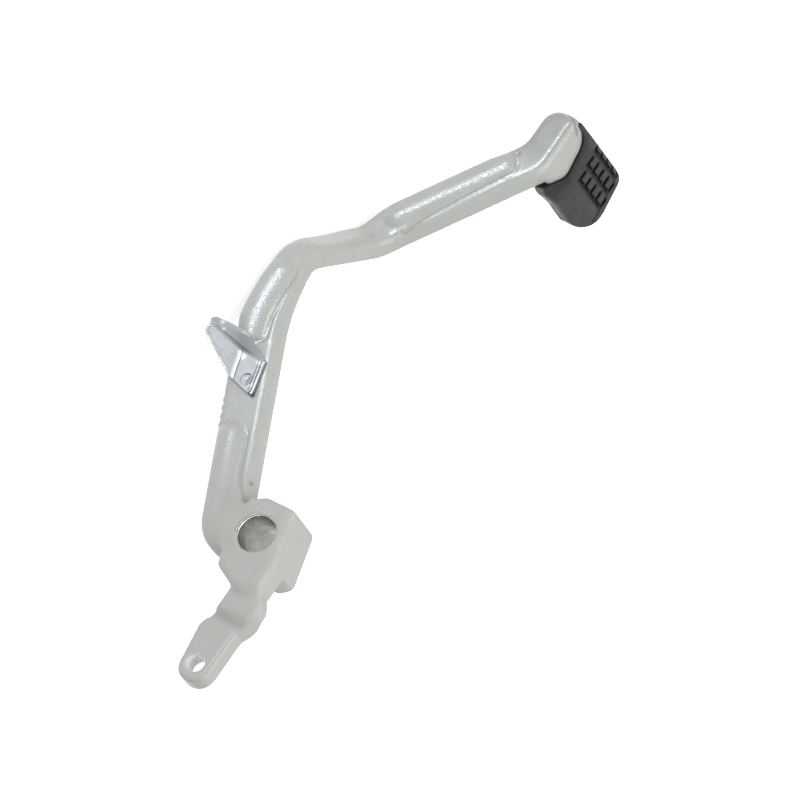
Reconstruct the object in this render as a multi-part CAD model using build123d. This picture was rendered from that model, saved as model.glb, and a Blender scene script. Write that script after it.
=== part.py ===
from build123d import *

import os
from math import acos, cos, degrees, radians, sin, tan

# Rear brake pedal of a motorbike, in millimetres.
# X runs forward along the bike, Y to the bike's left, toward the engine, and Z up.
# The origin is on the pivot axis, half way along the boss.

# Pivot boss and its sleeve
PIVOT_BORE = 17.0
SLEEVE_WALL = 1.3
SLEEVE_PROUD = 0.4
BOSS_DEPTH = 24.0
BOSS_FRONT_X = 16.4
BOSS_TOP_REACH = 12.8
BOSS_TOP_TILT = 16.0
BOSS_TOP_Z = 15.8
BOSS_REAR_TOP_X = -19.2
BOSS_REAR_X = -24.5
BOSS_REAR_Z = 4.0
BOSS_HEEL_X = -18.5
BOSS_HEEL_Z = -8.8
BOSS_BOTTOM_REACH = 13.4
BOSS_TOE_X = 9.3
BOSS_CHIN_Z = -7.0
BOSS_NOSE_X = -12.8
BOSS_NOSE_Z = 11.0
BOSS_CORNER = 3.0
BOSS_BLEND = 8.0
BOSS_EDGE = 2.8

# Pedal arm: a channel of bent sheet, open toward the outer side of the bike
SHEET = 3.0
CHANNEL_DEPTH = 9.2
FOLD_RADIUS = 3.4
WEB_Y = 6.0
LOWER_FALL = 27.0
UPPER_RISE = 37.5
KNEE_X = 92.4
KNEE_Z = -69.6
ANKLE_X = 151.6
HEAD_ROOT_X = 209.8
ARM_FRONT_X = 232.8
ARM_REAR_X = -12.3
LOWER_WIDTH = 20.6
JOG_WIDTH = 13.6
UPPER_WIDTH = 16.9
HEAD_HEIGHT = 15.8
REAR_CORNER = 20.0
KNEE_RADIUS = 86.0
ANKLE_OUTER_RADIUS = 41.0
ANKLE_INNER_RADIUS = 30.0
HEAD_TOP_RADIUS = 15.0
HEAD_BOTTOM_RADIUS = 10.0
HEAD_CORNER = 7.6
HEAD_FOLD_CORNER = 3.5

# Outward jog of the arm, as seen from above
JOG_START_X = 121.0
JOG_OUT = 37.0
JOG_ANGLE = 52.0
JOG_FIRST_RADIUS = 18.0
JOG_SECOND_RADIUS = 10.0

# Stiffening beads pressed up from the web
BEAD_HEIGHT = 2.6
BEAD_WIDTH = 11.6
BEAD_INSET = 1.6
LOWER_BEAD_START_ANGLE = 150.0
LOWER_BEAD_END_X = 35.0
MIDDLE_BEAD_START_X = 78.0
MIDDLE_BEAD_END_X = 107.0
UPPER_BEAD_START_X = 161.0
UPPER_BEAD_END_X = 200.0

# Tread plate folded out of the arm's head
TREAD_REAR_X = 204.5
TREAD_FRONT_INSET = 3.8
TREAD_REACH = 46.5
TREAD_CORNER = 8.0
TREAD_END_SLANT = 13.5

# Rubber shoe on the tread plate
RUBBER_WALL = 3.2
RUBBER_REAR_CORNER = 12.0
RUBBER_FRONT_CORNER = 7.0
RUBBER_START = 12.2
RUBBER_LIP = 9.2
RUBBER_REAR_LIP = 4.0
RUBBER_MOUTH_CORNER = 9.0

# Tread pattern: comb shaped grooves in the rubber's top
COMB_COUNT = 3
COMB_PITCH = 6.8
COMB_FRONT_GAP = 3.6
TOOTH_COUNT = 5
TOOTH_PITCH = 5.8
TOOTH_LENGTH = 4.8
TOOTH_END_GAP = 4.4
GROOVE_WIDTH = 1.5
GROOVE_DEPTH = 1.4

# Brake rod lever behind the boss
LEVER_THICK = 8.0
LEVER_RECESS = 3.0
LEVER_JOGGLE_X = -34.0
LEVER_JOGGLE_ANGLE = 53.0
LEVER_JOGGLE_OUT = 4.5
LEVER_JOGGLE_RADIUS = 1.0
ROD_HOLE = 8.0
ROD_HOLE_X = -58.5
ROD_HOLE_Z = 6.5
LEVER_END_TOP = 8.0
LEVER_END_BOTTOM = 6.2
LEVER_END_ROUND = 7.0
LEVER_END_REACH = 8.2
LEVER_WAIST_BOTTOM = 10.0
LEVER_NECK_BOTTOM_Z = 2.2
LEVER_NECK_TOP_Z = 15.0
LEVER_SHOULDER_X = -28.0
LEVER_SHOULDER_Z = 21.5
LEVER_WAIST_TOP_X = -41.0
LEVER_WAIST_BOTTOM_X = -41.5
LEVER_BLEND = 7.0
LEVER_ROOT_X = -14.0

# Plated stop bracket on the web, and its rivet
BRACKET_SHEET = 2.0
BRACKET_X = 68.4
BRACKET_FOLD_Z = -61.5
BRACKET_FOLD_TILT = 18.0
BRACKET_WING_BEND = 18.0
BRACKET_FLANGE_LEAN = 38.0
BRACKET_FLANGE_HEIGHT = 6.5
BRACKET_BACK = 15.8
BRACKET_RISE = 17.2
BRACKET_FRONT_RISE = 12.4
BRACKET_DROP = 18.0
BRACKET_SHOULDER = 1.0
BRACKET_CORNER = 3.0
RIVET_SHANK = 4.0
RIVET_HOLE_CLEARANCE = 0.05
RIVET_HEAD = 6.0
RIVET_HEAD_HEIGHT = 1.4
RIVET_TAIL_HEIGHT = 1.4
RIVET_FROM_FLANGE = 10.0
RIVET_ABOVE_FOLD = 10.0

# Sizes worked out from the ones above
SLEEVE_R = PIVOT_BORE / 2 + SLEEVE_WALL
BOSS_NEAR_Y = BOSS_DEPTH / 2
OUTER_WEB_Y = WEB_Y - JOG_OUT
BEAD_RADIUS = (BEAD_WIDTH**2 / 4 + BEAD_HEIGHT**2) / (2 * BEAD_HEIGHT)
KNEE = Vector(KNEE_X, KNEE_Z)
HEAD_ROOT_Z = KNEE_Z + (HEAD_ROOT_X - ANKLE_X) * tan(radians(UPPER_RISE))
TREAD_TOP_Z = HEAD_ROOT_Z + HEAD_HEIGHT / 2
TREAD_FRONT_X = ARM_FRONT_X - TREAD_FRONT_INSET
TREAD_END_Y = OUTER_WEB_Y - SHEET - TREAD_REACH
BRACKET_FACE_Y = WEB_Y + BRACKET_SHEET
FAR = 400.0


def shifted(start, end, distance):
    """The line from start to end, moved to its left: a point on it and its direction."""
    along = (end - start).normalized()
    return start + Vector(-along.Y, along.X) * distance, along


def crossing(first, second):
    """The point where two lines meet."""
    (start, along), (other, other_along) = first, second
    return start + along * ((other - start).cross(other_along).Z / along.cross(other_along).Z)


def upright(x):
    """The vertical line of the side view at x."""
    return Vector(x, 0), Vector(0, 1)


def level(z):
    """The horizontal line of the side view at z."""
    return Vector(0, z), Vector(1, 0)


def rounded(corners):
    """A closed outline from corner points, each with its own radius."""
    points = [point for point, _ in corners]
    radii = [radius for _, radius in corners]
    return FilletPolyline(*points, radius=radii, close=True)


def side_prism(outline, low_y, high_y):
    """A solid with the given outline in the side view, from low_y to high_y."""
    return extrude(Plane.XZ.offset(-high_y) * make_face(outline), amount=high_y - low_y)


def plan_prism(outline, low_z, high_z):
    """A solid with the given outline in the view from above, from low_z to high_z."""
    return extrude(Plane.XY.offset(low_z) * make_face(outline), amount=high_z - low_z)


def side_cylinder(radius, x, z, low_y, high_y):
    """A round bar along Y."""
    bar = Cylinder(radius, high_y - low_y, align=(Align.CENTER, Align.CENTER, Align.MIN))
    return Pos(x, high_y, z) * Rot(90, 0, 0) * bar


def outward_of_step(way, start_x, angle, drop, high_y, depth, first_radius, second_radius):
    """All space outward of a face that steps outward by drop, at a depth below that face."""
    back = way * depth * tan(radians(angle / 2))
    run = way * drop / tan(radians(angle))
    face_line = FilletPolyline(
        (-way * FAR, high_y - depth),
        (start_x - back, high_y - depth),
        (start_x + run - back, high_y - drop - depth),
        (way * FAR, high_y - drop - depth),
        radius=[max(first_radius - depth, 0), second_radius + depth],
    )
    rest = Polyline(face_line @ 1, (way * FAR, -FAR), (-way * FAR, -FAR), face_line @ 0)
    return plan_prism(face_line.edges() + rest.edges(), -FAR, FAR)


# Arm


def arm_edge_lines(side, inset):
    """The arm's four straight edge lines, above its middle (side 1) or below it (side -1)."""
    rear = Vector(ARM_REAR_X, KNEE_Z + (KNEE_X - ARM_REAR_X) * tan(radians(LOWER_FALL)))
    ankle = Vector(ANKLE_X, KNEE_Z)
    head_root = Vector(HEAD_ROOT_X, HEAD_ROOT_Z)
    front = Vector(ARM_FRONT_X, HEAD_ROOT_Z)
    bends = [rear, KNEE, ankle, head_root, front]
    widths = [LOWER_WIDTH, JOG_WIDTH, UPPER_WIDTH, HEAD_HEIGHT]
    return [
        shifted(start, end, side * (width / 2 - inset))
        for start, end, width in zip(bends, bends[1:], widths)
    ]


def arm_outline(inset):
    """The arm's outline in the side view, moved in by inset."""
    low = arm_edge_lines(-1, inset)
    high = arm_edge_lines(1, inset)
    rear = upright(ARM_REAR_X + inset)
    front = upright(ARM_FRONT_X - inset)
    return rounded([
        (crossing(low[0], rear), REAR_CORNER - inset),
        (crossing(low[0], low[1]), KNEE_RADIUS - inset),
        (crossing(low[1], low[2]), ANKLE_OUTER_RADIUS - inset),
        (crossing(low[2], low[3]), HEAD_BOTTOM_RADIUS + inset),
        (crossing(low[3], front), HEAD_CORNER - inset),
        (crossing(high[3], front), HEAD_FOLD_CORNER - inset),
        (crossing(high[2], high[3]), HEAD_TOP_RADIUS - inset),
        (crossing(high[1], high[2]), ANKLE_INNER_RADIUS + inset),
        (crossing(high[0], high[1]), KNEE_RADIUS + inset),
        (crossing(high[0], rear), 0),
    ])


def outward_of_web(depth):
    """All space outward of the arm's web, at a depth below its inner face."""
    return outward_of_step(
        1, JOG_START_X, JOG_ANGLE, JOG_OUT, WEB_Y, depth, JOG_FIRST_RADIUS, JOG_SECOND_RADIUS
    )


def bead_bar(path, web_y, radius):
    """A round bar with ball ends along a path of the side view, its top a bead's height above the web."""
    line = Plane.XZ.offset(BEAD_RADIUS - BEAD_HEIGHT - web_y) * path
    bar = sweep(Plane(line @ 0, z_dir=line % 0) * Circle(radius), path=line)
    for tip in (line @ 0, line @ 1):
        bar += Pos(tip) * Sphere(radius)
    return bar


def bead_ridge(path, web_y):
    """The raised outside of a bead, as far as the web's edge leaves room for it."""
    room = side_prism(arm_outline(BEAD_INSET), web_y - SHEET, FAR)
    return bead_bar(path, web_y, BEAD_RADIUS) & room


def bead_trough(path, web_y):
    """The hollow inside of a bead."""
    return bead_bar(path, web_y, BEAD_RADIUS - SHEET) & side_prism(arm_outline(SHEET), web_y - 2 * SHEET, FAR)


def bead_paths():
    """The middles of the three beads that run along the lower edge of the web, with the web's place."""
    middle_inset = BEAD_INSET + BEAD_WIDTH / 2
    low = arm_edge_lines(-1, middle_inset)
    knee_edges = arm_edge_lines(-1, KNEE_RADIUS)
    knee_centre = crossing(knee_edges[0], knee_edges[1])
    knee_radius = KNEE_RADIUS - middle_inset
    start_angle = -degrees(acos((MIDDLE_BEAD_START_X - knee_centre.X) / knee_radius))
    rear_centre = crossing(arm_edge_lines(-1, REAR_CORNER)[0], upright(ARM_REAR_X + REAR_CORNER))
    rear_turn = 270 - LOWER_FALL - LOWER_BEAD_START_ANGLE
    rear = CenterArc(rear_centre, REAR_CORNER - middle_inset, LOWER_BEAD_START_ANGLE, rear_turn)
    lower = Line(rear @ 1, crossing(low[0], upright(LOWER_BEAD_END_X)))
    knee = CenterArc(knee_centre, knee_radius, start_angle, -90 - start_angle)
    flat = Line(knee @ 1, crossing(low[1], upright(MIDDLE_BEAD_END_X)))
    upper = Line(
        crossing(low[2], upright(UPPER_BEAD_START_X)), crossing(low[2], upright(UPPER_BEAD_END_X))
    )
    return [(Wire([rear, lower]), WEB_Y), (Wire([knee, flat]), WEB_Y), (Wire([upper]), OUTER_WEB_Y)]


def tread_section():
    """The tread plate in the side view: the upper wall of the arm's head."""
    wall = make_face(arm_outline(0)) - make_face(arm_outline(SHEET))
    low_z = HEAD_ROOT_Z - SHEET / 2
    middle = Pos((TREAD_REAR_X + TREAD_FRONT_X) / 2, (low_z + TREAD_TOP_Z) / 2)
    return wall & middle * Rectangle(TREAD_FRONT_X - TREAD_REAR_X, TREAD_TOP_Z - low_z)


def end_set_back(length):
    """How far the tread's slanting end comes in over a length toward the front."""
    return length * tan(radians(TREAD_END_SLANT))


def tread_plan(margin, start_y, rear_corner, front_corner):
    """The outline of the tread from above, widened by margin."""
    rear_x = TREAD_REAR_X - margin
    front_x = TREAD_FRONT_X + margin
    end_y = TREAD_END_Y - margin
    return rounded([
        (Vector(rear_x, start_y), 0),
        (Vector(rear_x, end_y), rear_corner),
        (Vector(front_x, end_y + end_set_back(front_x - rear_x)), front_corner),
        (Vector(front_x, start_y), 0),
    ])


def tread_plate():
    """The upper wall of the head, carried on outward under the rubber."""
    start_y = OUTER_WEB_Y - CHANNEL_DEPTH
    plate = extrude(Plane.XZ.offset(-start_y) * tread_section(), amount=start_y - TREAD_END_Y)
    return plate & plan_prism(tread_plan(0, start_y, TREAD_CORNER, TREAD_CORNER), -FAR, FAR)


def pedal_arm(boss):
    """The channel with its beads and tread plate, cut to fit round the boss."""
    tall = side_prism(arm_outline(0), -FAR / 2, FAR)
    web_side = outward_of_web(0)
    solid = tall & web_side
    rim = [edge for edge in new_edges(tall, web_side, combined=solid) if edge.center().Y > -FAR / 4]
    solid = fillet(rim, FOLD_RADIUS)
    hollow = side_prism(arm_outline(SHEET), -FAR, FAR) & outward_of_web(SHEET)
    arm = solid - outward_of_web(CHANNEL_DEPTH)
    for path, web_y in bead_paths():
        arm += bead_ridge(path, web_y)
    arm -= hollow
    for path, web_y in bead_paths():
        arm -= bead_trough(path, web_y)
    arm += tread_plate()
    arm -= boss
    arm -= rivet_hole()
    return arm


# Boss, sleeve and lever


def boss_block():
    """The block round the pivot: a wide inner layer and a narrower outer one."""
    tilt = radians(BOSS_TOP_TILT)
    fall = radians(LOWER_FALL)
    top = (Vector(sin(tilt), cos(tilt)) * BOSS_TOP_REACH, Vector(cos(tilt), -sin(tilt)))
    bottom = (Vector(-sin(fall), -cos(fall)) * BOSS_BOTTOM_REACH, Vector(cos(fall), -sin(fall)))
    front = [
        (crossing(bottom, upright(BOSS_TOE_X)), BOSS_CORNER),
        (Vector(BOSS_FRONT_X, BOSS_CHIN_Z), BOSS_CORNER),
        (crossing(top, upright(BOSS_FRONT_X)), BOSS_CORNER),
        (crossing(top, level(BOSS_TOP_Z)), BOSS_BLEND),
    ]
    inner = rounded(front + [
        (Vector(BOSS_REAR_TOP_X, BOSS_TOP_Z), BOSS_CORNER),
        (Vector(BOSS_REAR_X, BOSS_REAR_Z), BOSS_CORNER),
        (Vector(BOSS_HEEL_X, BOSS_HEEL_Z), BOSS_CORNER),
    ])
    outer = rounded(front[:3] + [
        (crossing(top, level(BOSS_TOP_Z)), BOSS_CORNER),
        (Vector(BOSS_NOSE_X, BOSS_NOSE_Z), BOSS_CORNER),
        (crossing(bottom, upright(BOSS_NOSE_X)), BOSS_CORNER),
    ])
    block = side_prism(inner, 0, BOSS_NEAR_Y) + side_prism(outer, -BOSS_NEAR_Y, 0)
    faces = block.faces().sort_by(Axis.Y)
    return fillet(faces[0].edges() + faces[-1].edges(), BOSS_EDGE)


def pivot_sleeve():
    """The plain steel sleeve that the pivot shaft runs in."""
    end_y = BOSS_NEAR_Y + SLEEVE_PROUD
    return side_cylinder(SLEEVE_R, 0, 0, -end_y, end_y) - side_cylinder(PIVOT_BORE / 2, 0, 0, -FAR, FAR)


def lever_space(depth):
    """All space outward of the lever's inner face, at a depth below that face."""
    return outward_of_step(
        -1,
        LEVER_JOGGLE_X,
        LEVER_JOGGLE_ANGLE,
        LEVER_JOGGLE_OUT,
        BOSS_NEAR_Y - LEVER_RECESS,
        depth,
        LEVER_JOGGLE_RADIUS,
        LEVER_JOGGLE_RADIUS,
    )


def brake_lever(boss):
    """The joggled plate that pulls the brake rod."""
    high_z = ROD_HOLE_Z + LEVER_END_TOP
    low_z = ROD_HOLE_Z - LEVER_END_BOTTOM
    waist_z = ROD_HOLE_Z - LEVER_WAIST_BOTTOM
    end_x = ROD_HOLE_X - LEVER_END_REACH
    outline = rounded([
        (Vector(LEVER_ROOT_X, LEVER_NECK_BOTTOM_Z), 0),
        (Vector(LEVER_ROOT_X, LEVER_NECK_TOP_Z), 0),
        (Vector(BOSS_REAR_TOP_X, LEVER_NECK_TOP_Z), LEVER_BLEND),
        (Vector(LEVER_SHOULDER_X, LEVER_SHOULDER_Z), LEVER_BLEND),
        (Vector(LEVER_WAIST_TOP_X, high_z), LEVER_BLEND),
        (Vector(end_x, high_z), LEVER_END_ROUND),
        (Vector(end_x, low_z), LEVER_END_ROUND),
        (Vector(LEVER_WAIST_BOTTOM_X, waist_z), LEVER_BLEND),
        (Vector(LEVER_JOGGLE_X, LEVER_NECK_BOTTOM_Z), LEVER_BLEND),
    ])
    plate = side_prism(outline, -FAR / 2, FAR) & lever_space(0)
    plate -= lever_space(LEVER_THICK)
    plate -= boss
    return plate - side_cylinder(ROD_HOLE / 2, ROD_HOLE_X, ROD_HOLE_Z, -FAR, FAR)


# Stop bracket


def beyond(point, normal):
    """All space on the normal's side of a plane through the point."""
    return extrude(Plane(point, z_dir=normal) * Rectangle(2 * FAR, 2 * FAR), amount=FAR)


def bracket_space(margin):
    """The space between the bracket's base, wing and flange, widened by margin on each side."""
    tilt = radians(BRACKET_FOLD_TILT)
    bend = radians(BRACKET_WING_BEND)
    lean = radians(BRACKET_FLANGE_LEAN)
    corner = Vector(BRACKET_X, BRACKET_FACE_Y, BRACKET_FOLD_Z)
    base_normal = Vector(0, 1, 0)
    wing_normal = Vector(sin(tilt) * sin(bend), cos(bend), cos(tilt) * sin(bend))
    flange_normal = Vector(-cos(lean), sin(lean), 0)
    space = beyond(corner - base_normal * margin, base_normal)
    space &= beyond(corner - wing_normal * margin, wing_normal)
    space &= beyond(corner - flange_normal * margin, flange_normal)
    return space


def stop_bracket(arm):
    """Plated sheet folded into a base on the web, a wing past its edge and a leaning flange."""
    flange_x = BRACKET_X + BRACKET_FLANGE_HEIGHT * tan(radians(BRACKET_FLANGE_LEAN)) + BRACKET_SHEET
    rear_x = BRACKET_X - BRACKET_BACK
    tip_z = BRACKET_FOLD_Z - BRACKET_DROP
    outline = rounded([
        (Vector(rear_x, BRACKET_FOLD_Z + BRACKET_RISE), BRACKET_SHEET / 2),
        (Vector(rear_x + BRACKET_BACK / 4, BRACKET_FOLD_Z + BRACKET_SHOULDER), BRACKET_CORNER),
        (Vector(BRACKET_X, tip_z), BRACKET_CORNER),
        (Vector(flange_x, tip_z), BRACKET_CORNER),
        (Vector(flange_x, BRACKET_FOLD_Z), BRACKET_CORNER),
        (Vector(BRACKET_X + BRACKET_SHEET / 2, BRACKET_FOLD_Z + BRACKET_FRONT_RISE), BRACKET_SHEET),
    ])
    blank = side_prism(outline, WEB_Y, BRACKET_FACE_Y + BRACKET_FLANGE_HEIGHT)
    return (bracket_space(BRACKET_SHEET) - bracket_space(0)) & blank - arm - rivet_hole()


def rivet_place():
    """Where the rivet's axis crosses the side view."""
    return BRACKET_X - RIVET_FROM_FLANGE, BRACKET_FOLD_Z + RIVET_ABOVE_FOLD


def rivet_hole():
    """The hole for the rivet through bracket and web."""
    return side_cylinder(RIVET_SHANK / 2 + RIVET_HOLE_CLEARANCE, *rivet_place(), -FAR, FAR)


def bracket_rivet():
    """A rivet with a domed head on the bracket and a flat tail inside the channel."""
    back_y = WEB_Y - SHEET
    head_r = RIVET_HEAD / 2
    dome_r = (head_r**2 + RIVET_HEAD_HEIGHT**2) / (2 * RIVET_HEAD_HEIGHT)
    x, z = rivet_place()
    dome = Pos(x, BRACKET_FACE_Y + RIVET_HEAD_HEIGHT - dome_r, z) * Sphere(dome_r)
    head = dome & side_cylinder(head_r, x, z, BRACKET_FACE_Y, BRACKET_FACE_Y + RIVET_HEAD_HEIGHT)
    shank = side_cylinder(RIVET_SHANK / 2, x, z, back_y, BRACKET_FACE_Y)
    tail = side_cylinder(head_r, x, z, back_y - RIVET_TAIL_HEIGHT, back_y)
    return head + shank + tail


# Rubber


def tread_grooves(rear_x, front_x, end_y, top_z):
    """The comb shaped grooves: a long groove along Y with short teeth toward the front."""
    length = (TOOTH_COUNT - 1) * TOOTH_PITCH + GROOVE_WIDTH
    grooves = []
    for comb in range(COMB_COUNT):
        spine_x = front_x - COMB_FRONT_GAP - comb * COMB_PITCH
        last_y = end_y + end_set_back(spine_x - rear_x) + TOOTH_END_GAP
        spine = Box(GROOVE_WIDTH, length, 2 * GROOVE_DEPTH)
        grooves.append(Pos(spine_x, last_y + length / 2 - GROOVE_WIDTH / 2, top_z) * spine)
        for tooth in range(TOOTH_COUNT):
            cut = Box(TOOTH_LENGTH, GROOVE_WIDTH, 2 * GROOVE_DEPTH)
            grooves.append(Pos(spine_x + TOOTH_LENGTH / 2, last_y + tooth * TOOTH_PITCH, top_z) * cut)
    return grooves


def pedal_rubber(arm):
    """The rubber shoe that is pushed over the tread plate."""
    rear_x = TREAD_REAR_X - RUBBER_WALL
    front_x = TREAD_FRONT_X + RUBBER_WALL
    end_y = TREAD_END_Y - RUBBER_WALL
    mouth_y = OUTER_WEB_Y - RUBBER_START
    lip_y = mouth_y + RUBBER_LIP
    section = offset(tread_section(), RUBBER_WALL)
    plan = tread_plan(RUBBER_WALL, lip_y, RUBBER_REAR_CORNER, RUBBER_FRONT_CORNER)
    mouth_rear_x = rear_x + 2 * RUBBER_WALL
    mouth_front_x = front_x - RUBBER_WALL
    mouth_rear_y = mouth_y - end_set_back(mouth_front_x - mouth_rear_x)
    mouth = rounded([
        (Vector(rear_x - RUBBER_WALL, 0), 0),
        (Vector(rear_x - RUBBER_WALL, mouth_y + RUBBER_REAR_LIP), 0),
        (Vector(mouth_rear_x, mouth_rear_y), RUBBER_MOUTH_CORNER),
        (Vector(mouth_front_x, mouth_y), RUBBER_MOUTH_CORNER),
        (Vector(front_x + RUBBER_WALL, 0), 0),
    ])
    body = extrude(Plane.XZ.offset(-lip_y) * section, amount=lip_y - end_y)
    body &= plan_prism(plan, -FAR, FAR)
    body -= plan_prism(mouth, -FAR, FAR)
    body -= side_prism(arm_outline(0), mouth_y, 0)
    body -= arm
    for groove in tread_grooves(rear_x, front_x, end_y, TREAD_TOP_Z + RUBBER_WALL):
        body -= groove
    return body


boss_solid = boss_block()
arm_part = pedal_arm(boss_solid)
parts = {
    "pedal_arm": arm_part,
    "pivot_boss": boss_solid - side_cylinder(SLEEVE_R, 0, 0, -FAR, FAR),
    "pivot_sleeve": pivot_sleeve(),
    "brake_lever": brake_lever(boss_solid),
    "stop_bracket": stop_bracket(arm_part),
    "bracket_rivet": bracket_rivet(),
    "pedal_rubber": pedal_rubber(arm_part),
}

os.makedirs("parts", exist_ok=True)
for name, solid in parts.items():
    export_step(solid, f"parts/{name}.step")
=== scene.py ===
# %% [markdown]
# # A rear brake pedal, dressed
# The pedal is a pressed steel arm, welded to a block with a bare bore and a short joggled lever. Its solids
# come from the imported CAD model, which fixes every size, and this lesson gives them their looks: soft
# pressed corners, thick glossy paint, a plated bracket, a bare steel sleeve and a ribbed rubber shoe.

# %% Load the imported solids
import math

import bmesh
import bpy
import numpy as np
from mathutils import Matrix, Vector
from mathutils.kdtree import KDTree


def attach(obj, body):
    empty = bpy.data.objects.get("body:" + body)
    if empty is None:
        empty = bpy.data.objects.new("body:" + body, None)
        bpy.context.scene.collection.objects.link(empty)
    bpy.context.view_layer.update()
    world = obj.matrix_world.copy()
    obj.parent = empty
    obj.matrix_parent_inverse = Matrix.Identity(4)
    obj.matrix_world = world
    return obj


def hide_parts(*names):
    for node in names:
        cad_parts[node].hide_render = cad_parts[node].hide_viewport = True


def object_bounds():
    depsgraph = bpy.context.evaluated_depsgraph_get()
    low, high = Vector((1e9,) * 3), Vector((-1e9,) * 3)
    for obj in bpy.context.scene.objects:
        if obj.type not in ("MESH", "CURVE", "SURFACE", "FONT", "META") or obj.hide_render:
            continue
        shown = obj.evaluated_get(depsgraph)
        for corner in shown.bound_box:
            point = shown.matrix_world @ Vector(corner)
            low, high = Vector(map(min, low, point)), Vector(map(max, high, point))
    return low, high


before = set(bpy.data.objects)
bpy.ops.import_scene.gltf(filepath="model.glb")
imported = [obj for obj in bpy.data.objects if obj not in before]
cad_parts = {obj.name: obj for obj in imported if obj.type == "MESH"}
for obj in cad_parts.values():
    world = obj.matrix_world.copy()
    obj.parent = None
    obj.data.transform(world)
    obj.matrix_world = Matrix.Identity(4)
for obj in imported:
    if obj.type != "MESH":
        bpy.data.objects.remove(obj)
cad_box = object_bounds()
MM = 0.001
print("CAD nodes:", sorted(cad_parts))

# %% [markdown]
# The lever and the arm are welded to the block. A weld is a row of overlapping round puddles, each a little
# different, along the line where two plates meet. That repeats along a path, so a Geometry Nodes tree makes
# it: the path is cut into even steps and a small ball of random size sits on each. The balls go under the
# skin of the painted body, which melts them into one rippled seam.

# %% Weld seam tree
SMALLEST_PUDDLE, LARGEST_PUDDLE = 0.8, 1.15
RANDOM_LOW, RANDOM_HIGH, RANDOM_RESULT = 2, 3, 1


def new_group(kind, name, inputs, outputs):
    """A node group with named sockets: each input is a kind, a label and a starting value."""
    tree = bpy.data.node_groups.new(name, kind)
    for socket_kind, label, start in inputs:
        socket = tree.interface.new_socket(label, in_out="INPUT", socket_type="NodeSocket" + socket_kind)
        if start is not None:
            socket.default_value = start
    for socket_kind, label in outputs:
        tree.interface.new_socket(label, in_out="OUTPUT", socket_type="NodeSocket" + socket_kind)
    return tree, tree.nodes.new("NodeGroupInput"), tree.nodes.new("NodeGroupOutput")


def add_node(tree, kind, inputs=None, **settings):
    """Adds a node, sets its options, and fills its inputs with values or links."""
    made = tree.nodes.new(kind)
    for name, value in settings.items():
        setattr(made, name, value)
    for name, value in (inputs or {}).items():
        if isinstance(value, bpy.types.NodeSocket):
            tree.links.new(value, made.inputs[name])
        else:
            made.inputs[name].default_value = value
    return made


seam_tree, enter, leave = new_group(
    "GeometryNodeTree",
    "weld seam",
    [
        ("Geometry", "Geometry", None),
        ("Int", "Puddles", 8),
        ("Float", "Puddle radius", 1.5 * MM),
        ("Int", "Seed", 1),
        ("Material", "Finish", None),
    ],
    [("Geometry", "Geometry")],
)
path = add_node(seam_tree, "GeometryNodeMeshToCurve", {"Mesh": enter.outputs["Geometry"]})
steps = add_node(
    seam_tree, "GeometryNodeResampleCurve", {"Curve": path.outputs[0], "Count": enter.outputs["Puddles"]}
)
ball = add_node(
    seam_tree, "GeometryNodeMeshIcoSphere", {"Radius": enter.outputs["Puddle radius"], "Subdivisions": 2}
)
size = add_node(
    seam_tree,
    "FunctionNodeRandomValue",
    {RANDOM_LOW: SMALLEST_PUDDLE, RANDOM_HIGH: LARGEST_PUDDLE, "Seed": enter.outputs["Seed"]},
    data_type="FLOAT",
)
row = add_node(
    seam_tree,
    "GeometryNodeInstanceOnPoints",
    {"Points": steps.outputs[0], "Instance": ball.outputs[0], "Scale": size.outputs[RANDOM_RESULT]},
)
solid = add_node(seam_tree, "GeometryNodeRealizeInstances", {"Geometry": row.outputs[0]})
finished = add_node(
    seam_tree, "GeometryNodeSetMaterial", {"Geometry": solid.outputs[0], "Material": enter.outputs["Finish"]}
)
seam_tree.links.new(finished.outputs[0], leave.inputs["Geometry"])
print(seam_tree.name, "has", len(seam_tree.nodes), "nodes")

# %% [markdown]
# The tree now runs along four lines: where the lever meets the block, at its face and over its top, and
# where the arm's plate runs in under the block. The points of each line are in millimetres, in the frame of
# the CAD model, and after them come the number of puddles and their radius.

# %% Weld seams


def add_piece(name, data):
    """A new object in the scene, for a mesh, a lamp or a camera."""
    piece = bpy.data.objects.new(name, data)
    bpy.context.scene.collection.objects.link(piece)
    return piece


def settle(piece):
    """Turns a piece's modifiers into its plain mesh."""
    graph = bpy.context.evaluated_depsgraph_get()
    mesh = bpy.data.meshes.new_from_object(piece.evaluated_get(graph))
    piece.modifiers.clear()
    piece.data = mesh
    return piece


def grow(piece, tree, values):
    """Runs a geometry node tree on a piece, with its named inputs set, and keeps the plain mesh."""
    modifier = piece.modifiers.new(tree.name, "NODES")
    modifier.node_group = tree
    for item in tree.interface.items_tree:
        if item.in_out == "INPUT" and item.name in values:
            modifier[item.identifier] = values[item.name]
    return settle(piece)


def line_mesh(name, points):
    """A mesh of single edges through points in millimetres."""
    mesh = bpy.data.meshes.new(name)
    edges = [(i, i + 1) for i in range(len(points) - 1)]
    mesh.from_pydata([Vector(point) * MM for point in points], edges, [])
    return mesh


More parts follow.
